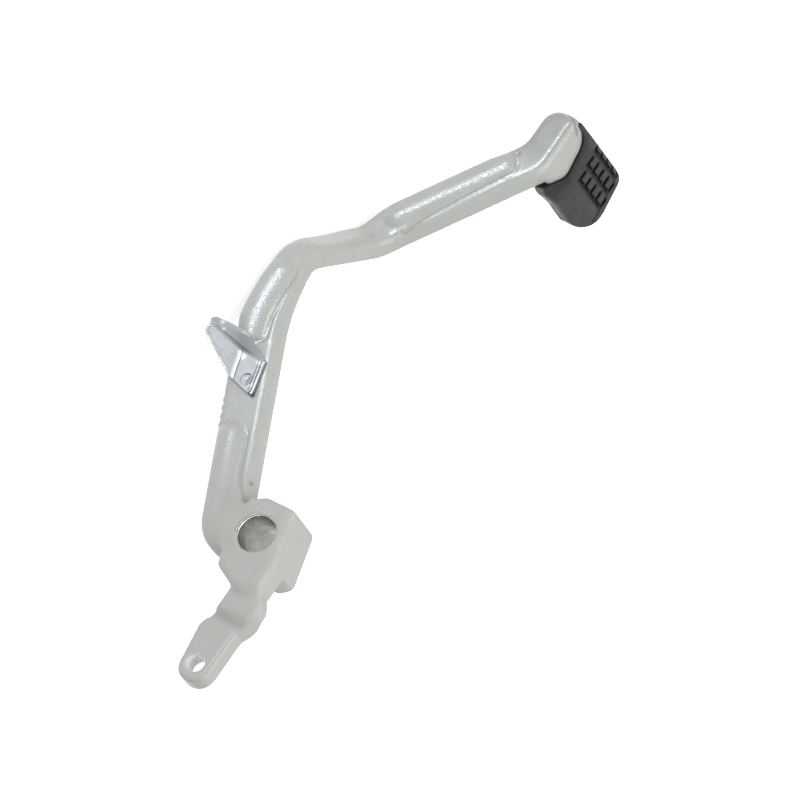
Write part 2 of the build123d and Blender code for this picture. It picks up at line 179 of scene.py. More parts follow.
paint = bpy.data.materials.new("grey_gloss_paint")
SEAMS = {
    "lever_seam": ([(-23.6, 9.2, 5.8), (-22.6, 9.6, 8.6), (-20.8, 9.6, 12.6), (-19.6, 8.8, 15.0)], 6, 1.7),
    "lever_top_seam": ([(-19.6, 7.6, 15.4), (-19.6, 1.4, 15.4)], 5, 1.2),
    "arm_seam": ([(-10.6, 2.2, -9.6), (0.0, 2.2, -15.0), (9.4, 2.2, -19.8)], 15, 1.7),
    "toe_seam": ([(10.6, 2.2, -19.4), (16.0, 2.2, -9.0)], 8, 1.5),
}
seams = []
for seed, (name, (points, count, radius)) in enumerate(SEAMS.items()):
    seam = add_piece(name, line_mesh(name, points))
    grow(seam, seam_tree, {"Puddles": count, "Puddle radius": radius * MM, "Seed": seed, "Finish": paint})
    print(name, "has", len(seam.data.polygons), "faces")
    seams.append(seam)

# %% [markdown]
# Arm, block and lever are welded and then painted together, so on the real pedal one coat of paint runs
# over all three and over the sleeve's end. Here one skin over all of them does the same, and the seams
# between the solids close up. Each solid arrives as loose triangles. A copy has them joined first, and then
# a voxel remesh lays an even skin of small faces over everything. The even skin is what makes the later
# steps easy: smoothing rounds every corner by the same amount, and dents or ripples are plain moves of its
# points.

# %% One skin over the painted pieces
JOIN_DISTANCE = 0.0005 * MM
BODY_SKIN = 0.6


def merged_copy(name, nodes, extras=()):
    """A new piece with copies of CAD nodes and of other pieces, the loose triangles of each joined."""
    whole = bmesh.new()
    for source in [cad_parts[node] for node in nodes] + list(extras):
        part = bmesh.new()
        part.from_mesh(source.data)
        bmesh.ops.remove_doubles(part, verts=part.verts, dist=JOIN_DISTANCE)
        joined = bpy.data.meshes.new("joined")
        part.to_mesh(joined)
        part.free()
        whole.from_mesh(joined)
        bpy.data.meshes.remove(joined)
    mesh = bpy.data.meshes.new(name)
    whole.to_mesh(mesh)
    whole.free()
    return add_piece(name, mesh)


def lay_skin(piece, size):
    """Lays an even skin of faces, of that size in millimetres, over a piece."""
    skin = piece.modifiers.new("skin", "REMESH")
    skin.mode = "VOXEL"
    skin.voxel_size = size * MM
    settle(piece)
    piece.data.shade_smooth()
    print(piece.name, "has", len(piece.data.polygons), "faces")


body = merged_copy("painted_body", ["pedal_arm", "pivot_boss", "brake_lever", "pivot_sleeve"], seams)
for seam in seams:
    bpy.data.objects.remove(seam)
lay_skin(body, BODY_SKIN)

# %% [markdown]
# Pressed and painted sheet has no sharp corner, and paint fills every joint with a soft hollow. A bevel
# modifier could round the corners, but it breaks down where three swept beads and two plates meet. A few
# rounds of smoothing do it everywhere at once. The helper takes a weight for each point, so later steps can
# smooth one place and leave the next as it is.

# %% Soft corners
WEIGHT_STEPS = 10
CORNER_ROUNDS = 5


def soften(piece, weights, rounds, axes="xyz"):
    """Smooths a piece, most where its weights are 1 and not at all where they are 0."""
    group = piece.vertex_groups.new(name="soft")
    levels = np.round(weights * WEIGHT_STEPS).astype(int)
    for level in range(1, WEIGHT_STEPS + 1):
        members = np.flatnonzero(levels == level).tolist()
        if members:
            group.add(members, level / WEIGHT_STEPS, "REPLACE")
    smooth = piece.modifiers.new("soften", "SMOOTH")
    smooth.vertex_group = group.name
    smooth.iterations = rounds
    smooth.factor = 0.5
    smooth.use_x = "x" in axes
    smooth.use_y = "y" in axes
    smooth.use_z = "z" in axes
    settle(piece)
    piece.vertex_groups.clear()
    print(piece.name, "is softened at", int((levels > 0).sum()), "points")


def everywhere(piece):
    """A weight of 1 for each point of a piece."""
    return np.ones(len(piece.data.vertices))


soften(body, everywhere(body), CORNER_ROUNDS)

# %% [markdown]
# The later steps shape a piece point by point, so a few helpers read all its points into one table and move
# them. A sculpting brush would do the same by hand, but a rule in code gives the same shape on every run.
# The ramp is the most used of them: it fades any effect in or out without a step, and a window does both.

# %% Points as a table


def places(piece):
    """The piece's points in millimetres, one row each."""
    flat = np.empty(len(piece.data.vertices) * 3, np.float32)
    piece.data.vertices.foreach_get("co", flat)
    return flat.reshape(-1, 3).astype(float) / MM


def move_to(piece, points):
    """Puts the piece's points at new places, in millimetres."""
    piece.data.vertices.foreach_set("co", (points * MM).astype(np.float32).ravel())
    piece.data.update()


def ramp(values, low, high):
    """Rises smoothly from 0 at low to 1 at high."""
    share = np.clip((values - low) / (high - low), 0, 1)
    return share * share * (3 - 2 * share)


def window(values, start, full, fade, end):
    """Rises from 0 at start to 1 at full, and falls again from 1 at fade to 0 at end."""
    return ramp(values, start, full) * (1 - ramp(values, fade, end))


print("the body reaches from", places(body).min(0).round(1), "to", places(body).max(0).round(1), "mm")

# %% [markdown]
# On the real pedal there is no sharp step between the thick block and the arm: filler and paint run from
# the block's face down into the arm in one long hollow. Smoothing alone would round the step, not fill it.
# So the wished height of the face is worked out for every point, highest on the block and falling along the
# arm, the points move to it, and a fresh skin and some smoothing even them out.

# %% Block that flows into the arm
LOWER_FALL = math.radians(27)
KNEE_X, KNEE_Z = 92.4, -69.6
BLOCK_FACE_Y, WEB_Y = 12.0, 6.0
BLOCK_BOTTOM = 6.6
TOE_LOW, TOE_HIGH = np.array((9.3, -19.7)), np.array((16.0, -9.0))
HOLLOW_TOP, HOLLOW_NARROW, HOLLOW_WIDENING = 9.0, 2.5, 12.0
HOLLOW_START, HOLLOW_LENGTH, HOLLOW_END = 5.0, 21.0, 36.0
HOLLOW_LOW, HOLLOW_HIGH = -9, 16
EDGE_BAND = 0.9
BORE_RIM_R = 10.2
FLOW_ROUNDS = 70


def across_arm(points):
    """How far points lie above the middle line of the arm's lower run, in the side view."""
    middle_z = KNEE_Z + (KNEE_X - points[:, 0]) * math.tan(LOWER_FALL)
    return (points[:, 2] - middle_z) * math.cos(LOWER_FALL)


def along_arm(points):
    """How far points lie from the bore along the arm's lower run."""
    return points[:, 0] * math.cos(LOWER_FALL) - points[:, 2] * math.sin(LOWER_FALL)


points = places(body)
x, y, z = points.T
across, along = across_arm(points), along_arm(points)
toe_run = (TOE_HIGH - TOE_LOW) / np.linalg.norm(TOE_HIGH - TOE_LOW)
before_toe = (z - TOE_LOW[1]) * toe_run[0] - (x - TOE_LOW[0]) * toe_run[1]
in_block = np.minimum(across - BLOCK_BOTTOM, before_toe)
slope = HOLLOW_NARROW + HOLLOW_WIDENING * ramp(along, -12.0, 4.0)
beside = np.clip(HOLLOW_TOP - across, 0, None) / slope
beyond = np.clip(along - HOLLOW_START, 0, None) / HOLLOW_LENGTH * (1 - ramp(across, 11.0, 16.0))
rise = 1 - ramp(np.hypot(beside, beyond), 0.0, 1.0)
level = WEB_Y + (BLOCK_FACE_Y - WEB_Y) * rise
flowing = np.where(in_block > 0, np.minimum(y, level), np.maximum(y, level))
flowing = np.where(np.abs(in_block) < EDGE_BAND, level, flowing)
near = ramp(y, 4.8, 5.8) * (np.hypot(x, z) > BORE_RIM_R)
near *= ramp(along, -9.0, -4.0) * (along < HOLLOW_END) * (across > HOLLOW_LOW) * (across < HOLLOW_HIGH)
points[:, 1] = y + near * (flowing - y)
move_to(body, points)
lay_skin(body, BODY_SKIN)
points = places(body)
x, y, z = points.T
blend = ramp(y, 3.0, 5.0) * ramp(np.hypot(x, z), 10.4, 12.0)
blend *= window(along_arm(points), -13.0, -6.0, 30.0, 40.0)
blend *= window(across_arm(points), -7.0, -3.0, 11.0, 15.0)
soften(body, blend, FLOW_ROUNDS)

# %% [markdown]
# The lever's plate lies a little lower than the block's face and is welded to it. The weld leaves a soft
# step, so only this strip is smoothed, first in depth alone and then in every direction.

# %% Step between block and lever
STEP_WEIGHT = 0.6
for axes, rounds in (("y", 12), ("xyz", 4)):
    x, y, z = places(body).T
    step = window(x, -31.0, -27.0, -17.5, -14.0) * window(z, 4.0, 6.5, 11.5, 14.0) * ramp(y, 4.0, 6.0)
    soften(body, step * STEP_WEIGHT, rounds, axes)

# %% [markdown]
# The block's upper edge is round, with a radius of several millimetres that dies away toward the toe. Many
# rounds of smoothing with weights that fade from the edge give such a growing radius, which a bevel of one
# width cannot.

# %% Rounded shoulder of the block
BLOCK_TOP_REACH, BLOCK_TOP_TILT = 12.8, math.radians(16)
BLOCK_TOP_Z = 15.8
SHOULDER_ROUNDS = 120


def under_block_top(points):
    """How far points lie below the block's sloping top, in the side view."""
    sloping = points[:, 0] * math.sin(BLOCK_TOP_TILT) + points[:, 2] * math.cos(BLOCK_TOP_TILT)
    return np.minimum(BLOCK_TOP_REACH - sloping, BLOCK_TOP_Z - points[:, 2])


points = places(body)
x, y, z = points.T
to_edge = np.hypot(under_block_top(points), BLOCK_FACE_Y - y)
shoulder = (1 - ramp(to_edge, 5.0, 9.0)) * (1 - ramp(x, 12.0, 15.0)) * ramp(np.hypot(x, z), 10.0, 11.0)
soften(body, shoulder, SHOULDER_ROUNDS)

# %% [markdown]
# A bare steel sleeve sits in the block. Paint covers most of its end, torn here and there, and leaves a
# bright arc free on one side. The skin's lining of the bore is moved back behind the sleeve, which is a
# piece of its own, and the paint's edge gets small waves.

# %% Paint round the bore
LINING_R, LINING_Y = 9.4, 11.3
BORE_HALF_LENGTH = 13.0
TEAR_DEPTH = 0.25
BARE_MIDDLE, BARE_SPAN = math.radians(-72), math.radians(40)
BARE_Y, BARE_DROP = 10.5, 0.9


def bare_ring(angles):
    """1 on the part of the sleeve's end that the paint leaves bare, and 0 where it is covered."""
    apart = np.abs((angles - BARE_MIDDLE + math.pi) % (2 * math.pi) - math.pi)
    return 1 - ramp(apart, BARE_SPAN * 0.75, BARE_SPAN * 1.15)


points = places(body)
x, y, z = points.T
radius = np.hypot(x, z)
angle = np.arctan2(z, x)
bare = bare_ring(angle)
in_bore = (radius < LINING_R) * (np.abs(y) < BORE_HALF_LENGTH)
torn = TEAR_DEPTH * np.sin(3 * angle + 1.0) * np.sin(7 * angle)
wanted = np.where(np.abs(y) < LINING_Y, LINING_R, radius + torn * (1 - bare))
wanted = np.where(in_bore, wanted, radius)
points[:, 0] = x * wanted / radius
points[:, 2] = z * wanted / radius
points[:, 1] = y - bare * (1 - ramp(radius, 9.8, 10.8)) * BARE_DROP * (y > BARE_Y)
move_to(body, points)
print("the lining of the bore has", int(in_bore.sum()), "points")

# %% [markdown]
# The press draws the bead out to the very edge where the arm bends, so the arm's outer side bulges there
# and the bead runs out without a visible end. The points move away from the middle of the bend, by an
# amount that grows across the arm, and the bead's end is smoothed until it flows into the next stretch.

# %% Bulge round the knee
KNEE_CENTRE = np.array((103.7, 9.6))
BULGE = 1.8
BEAD_END_ROUNDS = 90
points = places(body)
x, y, z = points.T
outward = points[:, [0, 2]] - KNEE_CENTRE
from_knee = np.linalg.norm(outward, axis=1)
bulging = ramp(from_knee, 70, 79) * window(x, 75, 84, 114, 132) * ramp(y, -8, 1)
points[:, [0, 2]] += outward / from_knee[:, None] * (BULGE * bulging)[:, None]
move_to(body, points)
bead_end = window(x, 101, 109, 122, 130) * ramp(y, -2, 2) * ramp(from_knee, 68, 72)
soften(body, bead_end, BEAD_END_ROUNDS)

# %% [markdown]
# Fine marks come last, as moves along each point's own direction. They are real relief, so that they catch
# the light, and their darkening, mostly painted shade and in a few pits dirt, is kept for the paint to read.
# The first are the lines that the press left beside the three beads. A curve object with a profile could
# cut them, but here each line is a smooth curve through a few points of the side view, and the code asks
# how far each point of the skin lies from it.

# %% Lines beside the beads
LOWER_LINE = [
    (39.5, -37.2), (37.4, -36.1), (28.2, -31.4), (19.2, -26.3), (15.0, -22.0), (12.1, -18.2), (10.2, -14.8),
]
MIDDLE_LINE = [
    (114.5, -64.1), (101.9, -62.1), (88.1, -59.9), (81.2, -57.7), (78.2, -56.9), (76.2, -58.6), (75.4, -62.0),
]
UPPER_LINE = [
    (154.5, -58.8), (156.3, -56.2), (160.5, -54.3), (178.5, -42.6), (190.1, -34.7), (198.7, -29.0),
    (202.5, -28.8), (205.2, -31.6),
]


def curve_through(points, steps=8):
    """Points on a smooth curve through given ones."""
    given = np.array([points[0], *points, points[-1]], float)
    rows = []
    for a, b, c, d in zip(given, given[1:], given[2:], given[3:]):
        for share in np.linspace(0, 1, steps, endpoint=False):
            bend = (2 * a - 5 * b + 4 * c - d) * share**2 + (3 * b - a - 3 * c + d) * share**3
            rows.append(0.5 * (2 * b + (c - a) * share + bend))
    return np.array(rows + [given[-1]])


def beside_line(view, outline):
    """How far points of a flat view lie from a smooth curve, and how far along it, from 0 to 1."""
    line = curve_through(outline)
    best = np.full(len(view), np.inf)
    along = np.zeros(len(view))
    for i, (start, end) in enumerate(zip(line, line[1:])):
        run = end - start
        share = np.clip((view - start) @ run / (run @ run), 0, 1)
        distance = np.linalg.norm(view - start - share[:, None] * run, axis=1)
        closer = distance < best
        best[closer] = distance[closer]
        along[closer] = (i + share[closer]) / (len(line) - 1)
    return best, along


print("the lower line's curve has", len(curve_through(LOWER_LINE)), "points")

# %% [markdown]
# Each line is pressed into the near side, between two values of Y, and fades out at both ends. A low lip
# stands beside the groove, as it does in pressed sheet, and the groove's line is darkened with painted shade.

# %% Pressed grooves
GROOVE_WIDTH, GROOVE_SHADE_WIDTH, GROOVE_SHADE = 0.7, 0.6, 0.3
GROOVE_LIP, GROOVE_LIP_OFFSET = 0.06, 1.6
GROOVES = (
    {"line": LOWER_LINE, "low_y": 0, "high_y": 20, "depth": 0.45},
    {"line": MIDDLE_LINE, "low_y": 0, "high_y": 20, "depth": 0.4},
    {"line": UPPER_LINE, "low_y": -40, "high_y": -20, "depth": 0.4},
)


def facing(piece):
    """The outward direction at each point of the piece."""
    flat = np.empty(len(piece.data.vertices) * 3, np.float32)
    piece.data.vertex_normals.foreach_get("vector", flat)
    return flat.reshape(-1, 3).astype(float)


def hump(distance, width):
    """1 at no distance, dying away over a width on both sides."""
    return np.exp(-((distance / width) ** 2))


points = places(body)
normals = facing(body)
side_view = points[:, [0, 2]]
near_side = ramp(normals[:, 1], 0.2, 0.5)
push = np.zeros(len(points))
dark = np.zeros(len(points))
for groove in GROOVES:
    away, along = beside_line(side_view, groove["line"])
    here = near_side * (points[:, 1] > groove["low_y"]) * (points[:, 1] < groove["high_y"])
    here *= window(along, 0, 0.1, 0.85, 1)
    push -= here * groove["depth"] * hump(away, GROOVE_WIDTH)
    push += here * GROOVE_LIP * hump(away - GROOVE_LIP_OFFSET, GROOVE_WIDTH)
    # Painted shade: the groove's line is darkened as if shade lay in it.
    dark += here * GROOVE_SHADE * hump(away, GROOVE_SHADE_WIDTH)
print("grooves are up to", round(float(-push.min()), 2), "mm deep")

# %% [markdown]
# A few pits and paint drips sit on the near side. Each is a round hump or hollow with a place, a radius, a
# height and an amount of dirt, which a loop adds to the same moves.

# %% Pits and drips
SPOTS = (
    ((20.5, 0, -21.8), 0.9, -0.45, 0.8),
    ((17.5, 0, -14.1), 1.4, -0.4, 0.5),
    ((157.8, -31, -50.7), 1.0, -0.4, 0.8),
    ((207.5, -31, -31.8), 0.8, -0.3, 0.8),
    ((60.2, 6, -42.2), 0.7, 0.35, 0.0),
    ((57.2, 6, -42.1), 0.7, 0.35, 0.0),
    ((30.0, 8, -40.6), 0.7, 0.3, 0.0),
    ((27.4, 8, -39.7), 0.7, 0.3, 0.0),
    ((20.6, 8, -36.3), 0.7, 0.3, 0.0),
)
SPOT_REACH = 16
for (spot_x, spot_y, spot_z), radius, height, dirt in SPOTS:
    away = np.hypot(side_view[:, 0] - spot_x, side_view[:, 1] - spot_z)
    here = near_side * (np.abs(points[:, 1] - spot_y) < SPOT_REACH) * hump(away, radius)
    push += here * height
    dark += here * dirt
print(len(SPOTS), "pits and drips added")

# %% [markdown]
# The sheet is creased at the head's corner, shears left ripples on the arm's lower edge, and the upper
# run's outer side is a little fuller than the solid's. The crease is placed as the eye sees it, in the two
# directions of the picture, and its line is darkened with painted shade. Then all moves are made at once,
# with the thickness of the paint added.

# %% Crease, ripples and coat
VIEW_RIGHT = np.array((0.556, -0.36, 0.745))
VIEW_UP = np.array((0.795, 0.48, -0.363))
CREASE = np.array([(231.8, -30.8, -21.6), (230.4, -33.0, -18.6), (227.6, -37.0, -17.0)])
CREASE_DEPTH, CREASE_WIDTH, CREASE_SHADE, CREASE_SHADE_WIDTH = 0.4, 0.7, 0.7, 0.5
HEAD_X = 215
RIPPLE_HEIGHT, RIPPLE_LENGTH = 0.25, 3.6
UPPER_OUT = np.array((0.609, 0.0, -0.793))
FULLNESS = 0.7
COAT = 0.12
BARE_R = 10


def as_seen(points):
    """Where points lie in the picture, to the right and up, in millimetres."""
    return points @ np.stack((VIEW_RIGHT, VIEW_UP), 1)


crease, _ = beside_line(as_seen(points), as_seen(CREASE))
on_head = (points[:, 0] > HEAD_X) * ramp(normals @ np.cross(VIEW_RIGHT, VIEW_UP), 0.1, 0.3)
push -= on_head * CREASE_DEPTH * hump(crease, CREASE_WIDTH)
# Painted shade along the crease's line.
dark += on_head * CREASE_SHADE * hump(crease, CREASE_SHADE_WIDTH)
sheared = (1 - ramp(across_arm(points), -9.5, -7.5)) * window(points[:, 0], 33, 37, 46, 51)
push += sheared * RIPPLE_HEIGHT * np.sin(points[:, 0] * 2 * math.pi / RIPPLE_LENGTH)
push += FULLNESS * ramp(normals @ UPPER_OUT, 0.3, 0.8) * window(points[:, 0], 132, 145, 198, 208)
painted = np.hypot(points[:, 0], points[:, 2]) > BARE_R
move_to(body, points + normals * (push + COAT * painted)[:, None])
deepest, highest = round(float(push.min()), 2), round(float(push.max()), 2)
print("paint and dents move the skin by", deepest, "to", highest, "mm")

# %% [markdown]
# Thick gloss paint shows small ripples on rounded beads and edges. It is dull on the block, where it lies
# thin over a rough face, and the flat of the head is darkened with painted shade. Each of these is a number
# on every point of the skin. The material reads them by name, which lets one finish change over the piece
# without any picture.

# %% Marks for the paint
LOWER_BEAD = [(-3.2, -9.3), (-4.9, -15.6), (-3.0, -22.5), (1.98, -26.78), (35.0, -43.61)]
MIDDLE_BEAD = [(78.0, -65.7), (86.0, -68.7), (95.0, -70.3), (107.0, -70.8)]
UPPER_BEAD = [(161.0, -63.71), (200.0, -33.78)]
BEAD_RIPPLES = ((LOWER_BEAD, 0.45), (MIDDLE_BEAD, 0.8), (UPPER_BEAD, 1.0))
LEAST_RIPPLE, WALL_RIPPLE, JOG_CALM = 0.12, 0.2, 0.85
HEAD_PAINTED_SHADE = 0.36
ROD_HOLE_X, ROD_HOLE_Z = -58.5, 6.5


def mark(piece, name, values):
    """Keeps a value for each point, for a material to read."""
    layer = piece.data.attributes.new(name, "FLOAT", "POINT")
    layer.data.foreach_set("value", values.astype(np.float32))


x, _, z = points.T
turned_near = facing(body)[:, 1]
peel = WALL_RIPPLE + (1 - WALL_RIPPLE) * ramp(turned_near, 0.3, 0.8)
peel *= 1 - ramp(turned_near, 0.985, 0.998)
for outline, amount in BEAD_RIPPLES:
    away, _ = beside_line(side_view, outline)
    peel = np.maximum(peel, amount * (1 - ramp(away, 4.0, 8.0)))
peel *= ramp(x, 12, 34) * (1 - JOG_CALM * window(x, 104, 112, 148, 156))
# Painted shade: the flat of the head is made darker.
dark += HEAD_PAINTED_SHADE * ramp(x, 202, 212) * ramp(turned_near, 0.8, 0.95)
from_rod_hole = np.hypot(x - ROD_HOLE_X, z - ROD_HOLE_Z)
mark(body, "peel", LEAST_RIPPLE + (1 - LEAST_RIPPLE) * peel)
mark(body, "dull", window(x, -37, -33, 10, 40))
# Painted light: the wall of the rod hole is paler, which lifts the shade that lies in it.
mark(body, "pale", 1 - ramp(from_rod_hole, 4.1, 4.5))
mark(body, "dirt_and_shade", np.clip(dark, 0, 1))
print("paint marks:", [layer.name for layer in body.data.attributes if layer.data_type == "FLOAT"])

# %% [markdown]
# A moulded rubber shoe is pushed over the arm's tread plate. Its comb shaped grooves are in the solid
# already, so it needs a fine skin, which keeps them, and only as much smoothing as rounds a moulded corner.

# %% Rubber shoe
RUBBER_SKIN = 0.34
RUBBER_ROUNDS = 2
rubber = merged_copy("rubber_shoe", ["pedal_rubber"])
lay_skin(rubber, RUBBER_SKIN)
soften(rubber, everywhere(rubber), RUBBER_ROUNDS)

# %% [markdown]
# Painted shade darkens the tread's grooves, the line along the outer end, the line where the halves of the
# mould met, and the rubber round the mouth that hugs the arm. Painted sheen makes the front edge and the
# lower rear side paler. The distance to the nearest sunk point, or to a curve, says how much of each there
# is.

# %% Marks on the rubber
END_X, END_Y, END_SLANT = 201.3, -83.7, math.radians(13.5)
TREAD_REAR_X, TREAD_FRONT_X, TREAD_INNER_Y, TREAD_INSET = 207, 231, -46, 1.2
TREAD_FLOOR, SUNK_DEPTH = 1.9, 0.5
BORDER_FLOOR, BORDER_INSET = 1.6, 3.8
REAR_X = 206
END_FACE_SHADE, MOUTH_SHADE = 0.95, 0.8
REAR_SHEEN, FRONT_SHEEN = 0.8, 0.6
MOUTH = [
    (201.3, -42.2), (204.2, -44.9), (208.0, -46.8), (212.5, -47.2), (218.0, -45.9), (223.1, -44.6),
    (227.5, -41.5), (229.9, -37.2), (232.2, -34.0),
]
PARTING_Y, PARTING_Z, PARTING_SLOPE, PARTING_WIDTH = -62, -22.6, 0.128, 0.5


def nearest(points, others):
    """The distance from each point to the closest of other points."""
    tree = KDTree(len(others))
    for i, place in enumerate(others):
        tree.insert(place, i)
    tree.balance()
    return np.array([tree.find(place)[2] for place in points])


points = places(rubber)
normals = facing(rubber)
x, y, z = points.T
top_z = z.max()
end_y = END_Y + (x - END_X) * math.tan(END_SLANT)
on_tread = (x > TREAD_REAR_X) & (x < TREAD_FRONT_X) & (y > end_y + TREAD_INSET) & (y < TREAD_INNER_Y)
sunk = on_tread & (z > top_z - TREAD_FLOOR) & (top_z - z > SUNK_DEPTH)
flat = np.column_stack((x, y, np.zeros(len(x))))
deep = (1 - ramp(nearest(flat, flat[sunk]), 0.4, 0.85)) * (z > top_z - TREAD_FLOOR)
from_mouth, _ = beside_line(points[:, [0, 1]], MOUTH)
end_face = ramp(normals[:, 1], 0.4, 0.7) * (1 - ramp(from_mouth, 0.6, 1.4))
lip = np.maximum(END_FACE_SHADE * end_face, MOUTH_SHADE * (1 - ramp(from_mouth, 0.0, 9.0)))
rear = ramp(-normals[:, 0], 0.2, 0.5) * (x < REAR_X)
parting_z = PARTING_Z + PARTING_SLOPE * (PARTING_Y - y)
parting = rear * hump(z - parting_z, PARTING_WIDTH)
border = (1 - ramp(np.abs(y - end_y - BORDER_INSET), 0.5, 0.95)) * window(x, 208, 210, 229, 231)
border *= z > top_z - BORDER_FLOOR
# Painted shade in the tread's grooves, the end line, the parting line and round the mouth.
mark(rubber, "dirt_and_shade", np.max((deep, lip, border, parting), 0))
# Painted sheen: the lower rear side and the front edge are paler, as if catching light.
rear_sheen = REAR_SHEEN * rear * (z < parting_z - PARTING_WIDTH)
mark(rubber, "pale", np.maximum(rear_sheen, FRONT_SHEEN * ramp(x, 227.0, 230.5)))
print("the tread's grooves hold", int(sunk.sum()), "of the rubber's", len(points), "points")

# %% [markdown]
# The lines are also cut as relief. The shoe's mouth is stretched: its rear corner flares and reaches along
# the arm, and its upper lip is pressed thin. Each is one shift in one direction, faded by a weight.

# %% Lines and lips of the rubber
BORDER_DEPTH, PARTING_DEPTH = 1.35, 0.4
FLARE, REAR_STRETCH, LIP_PRESS = (-1.6, 0.4, -0.4), (0.8, 3.0, 0.4), (0.0, 0.3, -1.7)
points[:, 2] = np.where(border > 0, np.minimum(z, top_z - BORDER_DEPTH * border), z)
points -= normals * (PARTING_DEPTH * parting)[:, None]
flare = (1 - ramp(x, 201.0, 207.0)) * ramp(y, -58.0, -40.0)
points += np.outer(flare, FLARE)
rear_end = (1 - ramp(x, 206.0, 215.0)) * (1 - ramp(from_mouth, 0.5, 3.0))
points += np.outer(rear_end, REAR_STRETCH)
thin_lip = ramp(z, -17.0, -14.2) * (1 - ramp(from_mouth, 0.5, 6.0))
points += np.outer(thin_lip, LIP_PRESS)
move_to(rubber, points)
print("the mouth is stretched at", int((rear_end > 0).sum()), "points")

# %% [markdown]
# A small folded bracket of plated sheet is fixed to the arm. Sheet is rounded along its folds and cut
# edges, and that is where plating glints, so the skin is smoothed well. A low lip stands along the upper
# edge of its base.

# %% Plated bracket
BRACKET_SKIN = 0.25
BRACKET_ROUNDS = 22
BASE_EDGE_X, BASE_EDGE_Z, BASE_EDGE_OUT = 61.4, -46.8, (0.275, 0.962)
BASE_FRONT_Y, BASE_LOW_Z = 9.5, -60
LIP_INSET, LIP_WIDTH, LIP_HEIGHT = 1.9, 0.6, 0.5
bracket = merged_copy("plated_bracket", ["stop_bracket"])
lay_skin(bracket, BRACKET_SKIN)
soften(bracket, everywhere(bracket), BRACKET_ROUNDS)
points = places(bracket)
normals = facing(bracket)
x, y, z = points.T
past_edge = (x - BASE_EDGE_X) * BASE_EDGE_OUT[0] + (z - BASE_EDGE_Z) * BASE_EDGE_OUT[1]
on_base = ramp(normals[:, 1], 0.9, 0.97) * (y < BASE_FRONT_Y) * (z > BASE_LOW_Z)
lip = on_base * hump(past_edge + LIP_INSET, LIP_WIDTH)
move_to(bracket, points + normals * (LIP_HEIGHT * lip)[:, None])

# %% [markdown]
# The flange is darkened with painted shade, most toward its lower part, and the creases get painted shade;
# the flange's tip and the sheet's cut edges are made darker too. Painted highlights lie where a fold or a
# nick would catch the light. How far a point stands out from its neighbours tells edges from creases.

# %% Marks on the bracket
FLANGE_OUT = np.array((-0.788, 0.616, 0.0))
FLANGE_SHADE, MORE_FLANGE_SHADE, FLANGE_SHADE_Z, FLANGE_SHADE_WIDTH = 0.25, 0.4, -60, 8
TIP_X, TIP_Z, TIP_DARKENING = 53.2, -45.2, 0.8
EDGE_STAND, EDGE_DARKENING = 0.008, 0.4
FOLD_X, FOLD_Z, FOLD_SLOPE, FOLD_WIDTH = 68.4, -61.5, 0.323, 0.5
FOLD_DARK, FOLD_BRIGHT = 0.5, -0.8
FOLD_SHADE, FOLD_HIGHLIGHT = 0.75, 0.54
HIGHLIGHT_SPOTS = (
    ((-18.5, 92.5), 0.8), ((-18.1, 89.6), 0.6), ((-7.0, 66.7), 1.0),
    ((-10.4, 78.6), 1.3), ((-3.4, 75.6), 1.0),
)


def standing_out(piece):
    """How far each point stands out from the middle of its neighbours: below 0 in creases."""
    ends = np.empty(len(piece.data.edges) * 2, np.int32)
    piece.data.edges.foreach_get("vertices", ends)
    ends = ends.reshape(-1, 2)
    points = places(piece)
    total = np.zeros_like(points)
    count = np.zeros(len(points))
    for one, other in ((0, 1), (1, 0)):
        np.add.at(total, ends[:, one], points[ends[:, other]])
        np.add.at(count, ends[:, one], 1)
    return np.sum((points - total / count[:, None]) * facing(piece), axis=1)


on_flange = ramp(normals @ FLANGE_OUT, 0.8, 0.95)
# Painted shade on the flange, darkest toward its lower part.
flange_shade = on_flange * (FLANGE_SHADE + MORE_FLANGE_SHADE * hump(z - FLANGE_SHADE_Z, FLANGE_SHADE_WIDTH))
# The flange's tip and the sheet's cut edges are made darker.
tip = TIP_DARKENING * (1 - ramp(np.hypot(x - TIP_X, z - TIP_Z), 1.2, 2.4))
sharp = standing_out(bracket)
from_rim = nearest(points, points[sharp > EDGE_STAND])
rims = EDGE_DARKENING * (1 - ramp(from_rim, 0.4, 1.3)) * (1 - ramp(z, -64, -61))
from_fold = (z - FOLD_Z) + FOLD_SLOPE * (x - FOLD_X)
low_plate = (1 - on_flange) * (1 - ramp(y, 9.5, 11.0)) * ramp(normals[:, 1], 0.6, 0.9)
in_fold = low_plate * hump(from_fold - FOLD_DARK, FOLD_WIDTH)
# Painted shade in the creases and along the fold's dark line.
creases = FOLD_SHADE * np.maximum(ramp(-sharp, 0.004, 0.012), in_fold)
mark(bracket, "dirt_and_shade", np.max((flange_shade, tip, rims, creases), 0))
shown = as_seen(points)
# Painted highlights: bright spots and a bright line beside the fold.
highlight_spots = sum(hump(np.hypot(*(shown - place).T), size) for place, size in HIGHLIGHT_SPOTS)
fold_highlight = FOLD_HIGHLIGHT * low_plate * hump(from_fold - FOLD_BRIGHT, FOLD_WIDTH)
mark(bracket, "pale", np.clip(np.maximum(highlight_spots, fold_highlight), 0, 1))
print("bracket edges stand out by up to", round(float(sharp.max()), 3), "mm")

# %% [markdown]
# One rivet holds the bracket. It needs only a fine skin and a little smoothing, which makes the dome's rim
# soft.

# %% Rivet
RIVET_SKIN = 0.16
RIVET_ROUNDS = 3
rivet = merged_copy("domed_rivet", ["bracket_rivet"])
lay_skin(rivet, RIVET_SKIN)
soften(rivet, everywhere(rivet), RIVET_ROUNDS)

